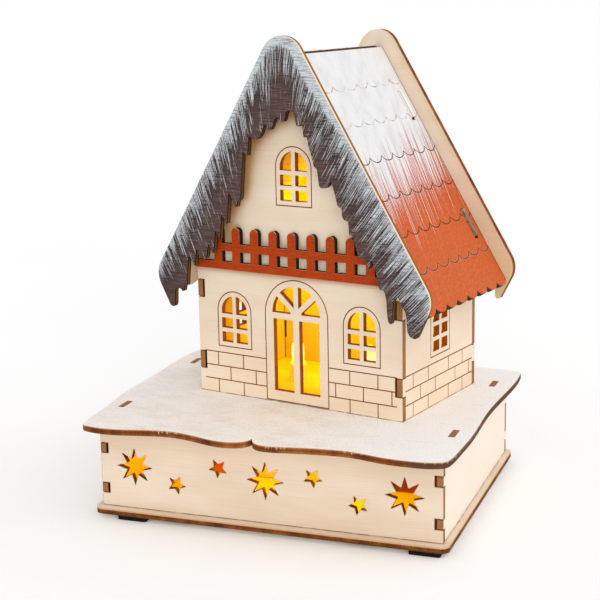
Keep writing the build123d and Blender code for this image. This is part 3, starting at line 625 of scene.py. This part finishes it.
for side, (spot_x, spot_y, round_z, front_end) in {
        "front": (0, -house_half_depth, 0, 0), "back": (0, house_half_depth, 180, 0),
        "right": (house_half_width, 0, 90, -1), "left": (-house_half_width, 0, -90, 1)}.items():
    wall, tree, shader, faces, grain, edge = sheet_finish(
        f"house_{side}_ply", house_spot(spot_x, spot_y, 0), (90, 0, house_turn + round_z))
    half = house_half_depth if front_end else house_half_width
    colour, parts = wall_colour(tree, faces, grain, edge, half, front_end, reveal=reveal_brown)
    # Painted light: the foot of each wall is brightened as if lit by light bounced off the snow.
    near_snow_bounce = times(tree, fall(tree, parts[1], 4.0, 36.0, 0.7), faces["Front"])
    colour = tint(tree, near_snow_bounce, colour, painted_snow_bounce, "MULTIPLY")
    if side == "front":
        # Painted shade: where ambient occlusion finds the front wall sheltered, above the fence and
        # under the icicle board, its colour is darkened.
        open_air = put(tree, "AmbientOcclusion", {"Distance": shelter_reach}).outputs["AO"]
        painted_shelter_shade = times(tree, fall(tree, open_air, 0.32, 0.72), faces["Front"])
        over_fence = rise(tree, parts[1], fence_foot + 9.0, fence_foot + 17.0)
        colour = tint(tree, times(tree, painted_shelter_shade, over_fence), colour, shelter_shade_tone, "MULTIPLY")
        # Painted shadow: a warm dark band just below the fence.
        under_fence_shadow = band(tree, parts[1], fence_foot - 4.0, fence_foot,
                           fence_foot + 1.0, fence_foot + 3.0)
        under_fence_shadow = times(tree, under_fence_shadow, faces["Front"])
        colour = tint(tree, under_fence_shadow, colour, fence_shadow_tone, "MULTIPLY")
    if not front_end:
        aside = calc(tree, "ABSOLUTE", parts[0])
        over_roof = calc(tree, "MULTIPLY_ADD", aside, slope_rise, parts[1])
        proud = rise(tree, over_roof, ridge_inside + tab_reach, ridge_inside + tab_reach + 0.2)
        below_ridge = calc(tree, "SUBTRACT", ridge_inside, parts[1])
        along = weighed(tree, (below_ridge, slope_sine), (aside, slope_cosine))
        from_tab_top = calc(tree, "MODULO", calc(tree, "SUBTRACT", along, tab_top), tab_step)
        rubbed = stretched_noise(tree, faces["Place"], (0.3, 0.3, 2.4))
        tab_paint = tint(tree, rise(tree, parts[1], 88.0, 96.0),
                         shades(tree, rubbed, tab_shades), tab_white)
        corner_line = times(tree, rise(tree, faces["Depth"], ply - 0.6, ply - 0.3), faces["Cut"])
        tab_paint = tint(tree, corner_line, tab_paint, tab_corner)
        lower_end = rise(tree, from_tab_top, tab_long - 0.15, tab_long - 0.05)
        tab_paint = tint(tree, lower_end, tab_paint, tab_gap)
        colour = tint(tree, proud, colour, tab_paint)
    fill(tree, shader, {"Base Color": colour})
    raise_surface(tree, shader, grain["Height"], veneer_ridges)
    dress(wall, f"house_{side}_wall")

# --------------------------------------------------------------------------------------------------
# Balcony fence: one sawn strip of plywood, its front painted brick red, glued across the front
# wall. The cuts are charred and darkened nearly black, partly as painted shade, with a grey line
# where the paint stops that is drawn only on cuts facing up, as a painted highlight.

fence_front = house_half_depth + ply
fence_shades = [(0.32, (0.300, 0.028, 0.001)), (0.50, (0.385, 0.042, 0.002)),
                (0.70, (0.450, 0.062, 0.006))]
fence_rim, fence_char_and_shade = (0.45, 0.25, 0.18, 1.0), (0.006, 0.004, 0.003, 1.0)
paint_end_highlight, fence_rim_reach = (0.52, 0.48, 0.44, 1.0), 0.0003
paint_depth = 0.00008
fence, tree, shader, faces, grain, edge = sheet_finish(
    "fence_red", house_spot(0, -fence_front, 0), (90, 0, house_turn))
coat = stretched_noise(tree, faces["Place"], (0.12, 1.4, 0.5), 3.0, 0.6)
worn = stretched_noise(tree, faces["Place"], (0.5, 0.5, 0.5), 3.0, 0.6)
red = shades(tree, weighed(tree, (worn, 0.4), (coat, 0.6)), fence_shades)
rim = use(tree, scorched_rim, {"Reach": fence_rim_reach})["Rim"]
red = tint(tree, times(tree, rim, 0.30), red, fence_rim)
face = tint(tree, faces["Front"], grain["Colour"], red)
# Charred cuts, darkened nearly black partly as painted shade.
char = tint(tree, 0.88, edge["Colour"], fence_char_and_shade)
# Painted highlight: the grey line where the paint stops shows only on cuts that face up.
skyward = axes(tree, put(tree, "TexCoord").outputs["Normal"])[2]
paint_line_highlight = times(tree, fall(tree, faces["Depth"], 0.35, 0.65, 0.95),
                  rise(tree, skyward, 0.3, 0.8, 0.12, 1.0))
char = tint(tree, paint_line_highlight, char, paint_end_highlight)
fill(tree, shader, {"Base Color": tint(tree, faces["Cut"], face, char)})
raise_surface(tree, shader, coat, paint_depth)
dress(fence, "balcony_fence")

# --------------------------------------------------------------------------------------------------
# Roof: two plywood sheets painted orange, with rows of engraved tiles and a scalloped eave.
# White is dry-brushed down from the ridge, solid at the top and broken into streaks half way down.

streaks_start, streaks_end, streak_lean, rear_share = 46.0, 104.0, 0.245, 0.22
white_rows_end, lowest_row, eave_start, roof_end = 50.0, 118.0, 130.0, 44.1
halo_reach = 0.0009
roof_orange = [(0.32, (0.480, 0.085, 0.020)), (0.52, (0.580, 0.116, 0.029)),
               (0.72, (0.650, 0.158, 0.048))]
roof_white = [(0.32, (0.655, 0.648, 0.668)), (0.50, (0.735, 0.730, 0.732)),
              (0.70, (0.775, 0.772, 0.765))]
streaked_tone, halo_pink = (0.80, 0.66, 0.95, 1.0), (0.70, 0.52, 0.44, 1.0)
scorched_brown, roof_char = (0.20, 0.085, 0.040, 1.0), (0.024, 0.013, 0.009, 1.0)
covered_line, bare_line, tile_line = (
    (0.76, 0.735, 0.715, 1.0), (0.50, 0.35, 0.25, 1.0), (0.085, 0.060, 0.050, 1.0))
for side, (sign, round_z) in {"right": (1, 90), "left": (-1, -90)}.items():
    spot = house_spot(sign * ply * slope_sine, 0, ridge_inside + ply * slope_cosine)
    roof, tree, shader, faces, grain, edge = sheet_finish(
        f"roof_{side}_paint", spot, (roof_slope, 0, house_turn + round_z))
    place = faces["Place"]
    parts = axes(tree, place)
    down = times(tree, parts[1], -1.0)
    across = calc(tree, "MULTIPLY_ADD", down, streak_lean, parts[0])
    brushed = put(tree, "CombineXYZ", {0: across, 1: down}).outputs[0]
    bristle = stretched_noise(tree, brushed, (1.60, 0.012, 1.0), 1.0, 0.50)
    clump = stretched_noise(tree, brushed, (0.13, 0.022, 1.0), 2.0, 0.5)
    dash = stretched_noise(tree, brushed, (2.6, 0.9, 1.0), 2.0, 0.6)
    stroke = weighed(tree, (dash, 0.10), (clump, 0.10), (bristle, 0.80))
    stroke = slope(tree, stroke, 0.35, 0.65)
    from_ridge = calc(tree, "MULTIPLY_ADD", parts[0], rear_share * sign, down)
    worn_off = slope(tree, from_ridge, streaks_start, streaks_end)
    bare = calc(tree, "MULTIPLY_ADD", calc(tree, "POWER", worn_off, 0.90), 1.16, -0.08)
    white_share = rise(tree, calc(tree, "SUBTRACT", stroke, bare), -0.12, 0.12)
    coat = stretched_noise(tree, place, (0.9, 0.6, 0.5), 4.0, 0.65)
    orange = tint(tree, fall(tree, down, streaks_start, streaks_end, 0.8),
                  shades(tree, coat, roof_orange), streaked_tone, "MULTIPLY")
    haze = stretched_noise(tree, brushed, (0.12, 0.07, 0.2), 3.0, 0.6)
    paint = tint(tree, white_share, orange, shades(tree, haze, roof_white))
    rim = use(tree, scorched_rim, {"Reach": halo_reach})["Rim"]
    low_row = band(tree, down, lowest_row - 7, lowest_row - 4, lowest_row + 3, lowest_row + 5)
    paint = tint(tree, times(tree, times(tree, rim, low_row), 0.55), paint, halo_pink)
    off_middle = calc(tree, "ABSOLUTE", parts[0])
    scorched_end = rise(tree, off_middle, roof_end - 1.3, roof_end - 0.4, 0.0, 0.65)
    paint = tint(tree, scorched_end, paint, scorched_brown)
    uncovered = rise(tree, stretched_noise(tree, place, (0.16, 0.05, 0.2), 3.0), 0.50, 0.58)
    line = tint(tree, uncovered, covered_line, bare_line)
    line = tint(tree, rise(tree, down, white_rows_end, white_rows_end + 6.0), line, tile_line)
    outside = calc(tree, "MAXIMUM", faces["Front"], faces["Groove"])
    face = tint(tree, outside, grain["Colour"], paint)
    darkened_share = calc(tree, "MAXIMUM", rise(tree, down, eave_start, eave_start + 2.0, 0.0, 0.85),
                 fall(tree, down, 0.5, 2.0, 0.6))
    face = tint(tree, faces["Cut"], face, tint(tree, darkened_share, edge["Colour"], roof_char))
    fill(tree, shader, {"Base Color": tint(tree, faces["Groove"], face, line)})
    raise_surface(tree, shader, stroke, paint_depth)
    dress(roof, f"roof_{side}_panel")

# --------------------------------------------------------------------------------------------------
# Front icicle board: plywood stained charcoal, its lower edge sawn into icicles, standing proud of
# the roof. White is dry-brushed inwards from the rakes, over the grain; the outer edge shows pale
# and brown plies.

board_front, board_apex = 47.1, 189.5
apex_round, apex_centre = 11.5, 22.0
left_reach, right_reach = 15.0, 20.0
left_sweep, right_sweep = (-0.03, 0.0041), (0.17, 0.0064)
stain_ridges = 0.00012
stain_shades = [(0.32, (0.050, 0.027, 0.024)), (0.50, (0.085, 0.049, 0.043)),
                (0.68, (0.132, 0.083, 0.074))]
frost_shades = [(0.35, (0.46, 0.51, 0.545)), (0.60, (0.67, 0.715, 0.745))]
wet_stain = (0.036, 0.028, 0.028, 1.0)
icicle_char, icicle_ply = (0.020, 0.010, 0.006, 1.0), (0.150, 0.066, 0.018, 1.0)
rake_brown, rake_pale = (0.36, 0.16, 0.055, 1.0), (0.86, 0.69, 0.50, 1.0)


def either(tree, share, first, second):
    """A value that goes from first to second with share."""
    return put(tree, "Mix", {0: share, 2: first, 3: second}, data_type="FLOAT").outputs[0]


def swept(tree, drop, start, growth):
    """How far a brush stroke has moved sideways at each drop: its lean starts as given at the top
    and grows steadily on the way down."""
    lean = times(tree, times(tree, drop, drop), growth / 2)
    return calc(tree, "MULTIPLY_ADD", drop, start, lean)


board, tree, shader, faces, grain, edge = sheet_finish(
    "icicle_board_stain", house_spot(0, -board_front, board_apex), (90, 0, house_turn))
place = faces["Place"]
parts = axes(tree, place)
drop = times(tree, parts[1], -1.0)
aside = calc(tree, "ABSOLUTE", parts[0])
from_rake = calc(tree, "SUBTRACT", drop, times(tree, aside, slope_rise))
from_rake = times(tree, from_rake, slope_cosine)
above_centre = calc(tree, "SUBTRACT", apex_centre, drop)
from_centre = calc(tree, "MULTIPLY_ADD", aside, aside, calc(tree, "POWER", above_centre, 2.0))
from_top = calc(tree, "SUBTRACT", apex_round, calc(tree, "SQRT", from_centre))
in_cap = calc(tree, "GREATER_THAN", above_centre, times(tree, aside, 1.0 / slope_rise))
in_cap = times(tree, in_cap, calc(tree, "GREATER_THAN", above_centre, 0.0))
inward = either(tree, in_cap, from_rake, from_top)
right_share = rise(tree, parts[0], -14.0, 14.0)
left_share = calc(tree, "SUBTRACT", 1.0, right_share)
to_left = times(tree, swept(tree, drop, *left_sweep), -1.0)
shift = either(tree, right_share, to_left, swept(tree, drop, *right_sweep))
fan = put(tree, "CombineXYZ", {0: calc(tree, "ADD", parts[0], shift), 1: drop}).outputs[0]
bristle = stretched_noise(tree, fan, (2.00, 0.065, 1.0), 2.0, 0.6)
clump = stretched_noise(tree, fan, (0.28, 0.05, 1.0), 2.0, 0.5)
ridges = stretched_noise(tree, place, (0.12, 1.55, 0.5), 2.0, 0.60)
stroke = weighed(tree, (ridges, 0.18), (clump, 0.18), (bristle, 0.64))
stroke = slope(tree, stroke, 0.37, 0.63)
reach = slope(tree, right_share, 0.0, 1.0, left_reach, right_reach)
way_in = calc(tree, "DIVIDE", inward, reach)
drier = slope(tree, right_share, 0.0, 1.0, 0.06, -0.025)
bare = calc(tree, "MULTIPLY_ADD", rise(tree, drop, 50.0, 130.0), drier,
            slope(tree, way_in, 0.0, 1.0, 0.34, 0.89))
white_share = rise(tree, calc(tree, "SUBTRACT", stroke, bare), -0.04, 0.09)
solid = rise(tree, drop, 20.0, 95.0, 3.0, 0.5)
solid = calc(tree, "MULTIPLY_ADD", right_share, fall(tree, drop, 15.0, 75.0, 3.6), solid)
solid = calc(tree, "MULTIPLY_ADD", calc(tree, "SUBTRACT", bristle, 0.5), 8.0, solid)
solid = fall(tree, calc(tree, "SUBTRACT", inward, solid), -0.9, 0.7)
scratch = stretched_noise(tree, fan, (1.9, 0.060, 1.0), 1.0, 0.5)
scratch = times(tree, rise(tree, scratch, 0.64, 0.71), fall(tree, way_in, 0.85, 1.25, 0.85))
white_share = calc(tree, "MAXIMUM", calc(tree, "MAXIMUM", white_share, solid), scratch)
white_share = times(tree, white_share, rise(tree, ridges, 0.49, 0.60, 1.0, 0.36))
left_tip = times(tree, rise(tree, drop, 122.0, 136.0), left_share)
white_share = times(tree, white_share, calc(tree, "SUBTRACT", 1.0, left_tip))
wet = fall(tree, way_in, 0.55, 1.05, 0.50)
stain = tint(tree, wet, shades(tree, ridges, stain_shades), wet_stain)
paint = tint(tree, white_share, stain, shades(tree, ridges, frost_shades))
face = tint(tree, faces["Front"], grain["Colour"], paint)
middle_ply = times(tree, band(tree, faces["Depth"], 0.7, 1.0, 2.1, 2.5),
                   rise(tree, drop, 40.0, 110.0, 0.3, 1.0))
inner_char = tint(tree, middle_ply, icicle_char, icicle_ply)
outer_char = tint(tree, fall(tree, faces["Depth"], 1.15, 1.40, 0.95),
                  tint(tree, 0.5, edge["Colour"], rake_brown), rake_pale)
char = tint(tree, rise(tree, inward, 4.0, 9.0), outer_char, inner_char)
fill(tree, shader, {"Base Color": tint(tree, faces["Cut"], face, char)})
raise_surface(tree, shader, ridges, stain_ridges)
dress(board, "front_icicle_board")

# --------------------------------------------------------------------------------------------------
# Rear gable board: the same outline left as bare plywood, standing proud of the roof at the back.
# Its front side shows beside the roof, with painted shade and orange bounce from the roof near the
# rakes and toward its lower ends, and its edge is burnt brown.

rear_shade_and_bounce_tone = (0.86, 0.80, 0.58, 1.0)
rear_board, tree, shader, faces, grain, edge = sheet_finish(
    "rear_board_ply", house_spot(0, board_front, board_apex), (90, 0, house_turn + 180))
parts = axes(tree, faces["Place"])
aside = calc(tree, "ABSOLUTE", parts[0])
from_rake = calc(tree, "MULTIPLY_ADD", aside, slope_rise, parts[1])
from_rake = times(tree, from_rake, -slope_cosine)
# Painted shade and orange bounce light from the roof: the faces are toned near the rakes and toward
# the lower ends.
rear_shade_and_bounce = calc(tree, "MAXIMUM", fall(tree, from_rake, 0.5, 4.0, 0.40),
              fall(tree, parts[1], -140.0, -70.0, 0.9))
rear_shade_and_bounce = times(tree, rear_shade_and_bounce, calc(tree, "SUBTRACT", 1.0, faces["Cut"]))
colour = tint(tree, rear_shade_and_bounce, bare_colour(tree, faces, grain, edge), rear_shade_and_bounce_tone, "MULTIPLY")
fill(tree, shader, {"Base Color": colour})
raise_surface(tree, shader, grain["Height"], veneer_ridges)
dress(rear_board, "rear_gable_board")

# --------------------------------------------------------------------------------------------------
# Studio: a wide pale floor, clear from below, an even white sky and two weak, very soft suns on the
# right. The camera stands where the photograph was taken from.

floor_reach = 30.0
floor_shades = [(0.3, (0.955, 0.955, 0.955)), (0.7, (0.965, 0.965, 0.965))]
ticks = np.linspace(-floor_reach, floor_reach, 2)
grid = np.stack(np.meshgrid(ticks, ticks), -1).reshape(-1, 2)
corners = np.column_stack([grid, np.zeros(len(grid))])
floor_mesh = bpy.data.meshes.new("floor")
floor_mesh.from_pydata(corners.tolist(), [], [(0, 1, 3, 2)])
floor = bpy.data.objects.new("floor", floor_mesh)
bpy.context.scene.collection.objects.link(floor)
pale, tree, shader = new_finish("pale_floor", 0.9)
mottle = stretched_noise(tree, place_in_mm(tree), (0.004, 0.004, 0.004))
fill(tree, shader, {"Base Color": shades(tree, mottle, floor_shades), "Specular IOR Level": 0.1,
                    "Emission Color": (1.0, 1.0, 1.0, 1.0), "Emission Strength": 0.06})
clear = put(tree, "BsdfTransparent").outputs[0]
below = put(tree, "NewGeometry").outputs["Backfacing"]
one_sided = put(tree, "MixShader", {0: below, 1: shader.outputs[0], 2: clear}).outputs[0]
tree.links.new(one_sided, tree.nodes["Material Output"].inputs["Surface"])
floor_mesh.materials.append(pale)

sky_light, sky_seen = 0.79, 1.0
world = bpy.data.worlds.new("studio")
bpy.context.scene.world = world
world.use_nodes = True
tree = world.node_tree
seen = put(tree, "LightPath").outputs["Is Camera Ray"]
strength = calc(tree, "MULTIPLY_ADD", seen, sky_seen - sky_light, sky_light)
fill(tree, tree.nodes["Background"], {"Color": (1.0, 1.0, 1.0, 1.0), "Strength": strength})

for name, bearing, height, power, spread in (
        ("front_sun", 25, 18, 0.85, 40), ("right_sun", 90, 35, 0.60, 80)):
    sun = bpy.data.lights.new(name, "SUN")
    sun.energy, sun.angle = power, math.radians(spread)
    shine = bpy.data.objects.new(name, sun)
    bearing, height = math.radians(bearing), math.radians(height)
    toward = Vector((math.sin(bearing) * math.cos(height), -math.cos(bearing) * math.cos(height),
                     math.sin(height)))
    shine.rotation_euler = toward.to_track_quat("Z", "Y").to_euler()
    bpy.context.scene.collection.objects.link(shine)

frame_width, focal_pixels, sensor = 600, 1396.36, 36.0
eye = (0.227791, -0.636475, 0.248786)
yaw, pitch, roll = (math.radians(v) for v in (20.05, 12.517, -1.096))
forward = Vector((-math.sin(yaw) * math.cos(pitch), math.cos(yaw) * math.cos(pitch),
                  -math.sin(pitch)))
level = Vector((math.cos(yaw), math.sin(yaw), 0.0))
upright = level.cross(forward)
right = math.cos(roll) * level + math.sin(roll) * upright
up = -math.sin(roll) * level + math.cos(roll) * upright
lens = bpy.data.cameras.new("camera")
lens.sensor_width = sensor
lens.lens = focal_pixels * sensor / frame_width
lens.clip_start, lens.clip_end = 0.01, 200.0
camera = bpy.data.objects.new("camera", lens)
turned = Matrix((right, up, -forward)).transposed().to_4x4()
camera.matrix_world = Matrix.Translation(eye) @ turned
bpy.context.scene.collection.objects.link(camera)
bpy.context.scene.camera = camera
bpy.context.scene.view_settings.view_transform = "Standard"
